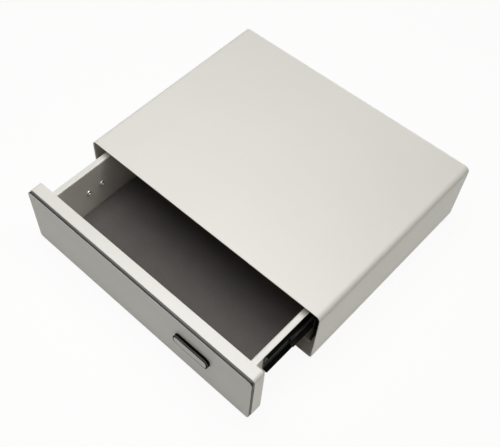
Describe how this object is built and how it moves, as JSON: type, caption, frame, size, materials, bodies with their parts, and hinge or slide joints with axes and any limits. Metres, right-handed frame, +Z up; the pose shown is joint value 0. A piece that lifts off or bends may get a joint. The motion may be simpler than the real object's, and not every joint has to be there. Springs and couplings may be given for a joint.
{
  "type": "under-desk drawer safe",
  "caption": "Low steel drawer safe: a wrapped sheet housing, a foam-lined drawer on ball-bearing slides, and a front panel with a press pad and a motor-driven hook lock.",
  "frame": {"origin": "middle of the housing's underside", "axes": "+X to the right seen from the front, +Y to the back, +Z up; the drawer opens along -Y"},
  "size_m": [0.457, 0.4973, 0.118],
  "materials": {
    "light_paint": "satin",
    "silver_face": "satin",
    "black_plastic": "matte",
    "black_steel": "satin",
    "bright_steel": "brushed",
    "rubber": "matte",
    "foam": "matte",
    "board": "gloss",
    "cell_sleeve": "satin",
    "lead_sleeve": "matte"
  },
  "bodies": {
    "housing": {"housing_shell": "light_paint", "rear_plate": "light_paint", "striker_plate": "bright_steel", "striker_pin": "bright_steel", "slide_bracket_left": "light_paint", "slide_bracket_right": "light_paint", "slide_fixed_member_left": "black_steel", "slide_fixed_member_right": "black_steel", "rear_bumper_left": "rubber", "rear_bumper_right": "rubber"},
    "drawer": {"drawer_tray": "light_paint", "foam_mat": "foam", "slide_drawer_member_left": "black_steel", "slide_drawer_member_right": "black_steel", "slide_screw_left_1": "bright_steel", "slide_screw_left_2": "bright_steel", "slide_screw_left_3": "bright_steel", "slide_screw_left_4": "bright_steel", "slide_screw_right_1": "bright_steel", "slide_screw_right_2": "bright_steel", "slide_screw_right_3": "bright_steel", "slide_screw_right_4": "bright_steel", "panel_screw_1": "bright_steel", "panel_screw_2": "bright_steel", "panel_screw_3": "bright_steel", "panel_screw_4": "bright_steel", "panel_body": "light_paint", "fascia_gasket": "rubber", "fascia_backplate": "black_plastic", "fascia_face": "silver_face", "pad_surround": "black_plastic", "pad_switch": "black_plastic", "key_dome": "rubber", "control_board": "board", "buzzer": "black_plastic", "battery_holder": "black_plastic", "battery_cover": "black_plastic", "battery_lead": "lead_sleeve", "battery_1": "cell_sleeve", "battery_2": "cell_sleeve", "battery_3": "cell_sleeve", "battery_4": "cell_sleeve", "lock_gearbox": "bright_steel", "lock_motor": "bright_steel", "motor_bracket": "bright_steel", "motor_lead": "lead_sleeve"},
    "key": {"pad_key": "black_plastic", "key_face": "silver_face"},
    "hook": {"latch_hook": "bright_steel", "hook_shaft": "bright_steel"},
    "middle_left": {"slide_middle_member_left": "black_steel"},
    "inner_cage_left": {"inner_ball_cage_left": "bright_steel"},
    "outer_cage_left": {"outer_ball_cage_left": "bright_steel"},
    "middle_right": {"slide_middle_member_right": "black_steel"},
    "inner_cage_right": {"inner_ball_cage_right": "bright_steel"},
    "outer_cage_right": {"outer_ball_cage_right": "bright_steel"}
  },
  "joints": [
    {"name": "drawer_slide", "type": "slide", "parent": "housing", "child": "drawer", "axis": [0, -1, 0], "range_m": [-0.1075, 0.1825]},
    {"name": "key_press", "type": "slide", "parent": "drawer", "child": "key", "axis": [0, 1, 0], "range_m": [0, 0.0012], "stiffness_N_per_m": 800},
    {"name": "hook_turn", "type": "hinge", "parent": "drawer", "child": "hook", "pos_m": [-0.219, -0.2965, 0.062], "axis": [1, 0, 0], "range_deg": [-25, 0]},
    {"name": "middle_slide_left", "type": "slide", "parent": "housing", "child": "middle_left", "axis": [0, -1, 0], "range_m": [-0.05375, 0.09125]},
    {"name": "outer_cage_slide_left", "type": "slide", "parent": "housing", "child": "outer_cage_left", "axis": [0, -1, 0], "range_m": [-0.02687, 0.04562]},
    {"name": "inner_cage_slide_left", "type": "slide", "parent": "housing", "child": "inner_cage_left", "axis": [0, -1, 0], "range_m": [-0.08063, 0.13687]},
    {"name": "middle_slide_right", "type": "slide", "parent": "housing", "child": "middle_right", "axis": [0, -1, 0], "range_m": [-0.05375, 0.09125]},
    {"name": "outer_cage_slide_right", "type": "slide", "parent": "housing", "child": "outer_cage_right", "axis": [0, -1, 0], "range_m": [-0.02687, 0.04562]},
    {"name": "inner_cage_slide_right", "type": "slide", "parent": "housing", "child": "inner_cage_right", "axis": [0, -1, 0], "range_m": [-0.08063, 0.13687]}
  ],
  "couplings": [
    {"joint": "middle_slide_left", "follows": "drawer_slide", "ratio": 0.5},
    {"joint": "outer_cage_slide_left", "follows": "drawer_slide", "ratio": 0.25},
    {"joint": "inner_cage_slide_left", "follows": "drawer_slide", "ratio": 0.75},
    {"joint": "middle_slide_right", "follows": "drawer_slide", "ratio": 0.5},
    {"joint": "outer_cage_slide_right", "follows": "drawer_slide", "ratio": 0.25},
    {"joint": "inner_cage_slide_right", "follows": "drawer_slide", "ratio": 0.75}
  ]
}
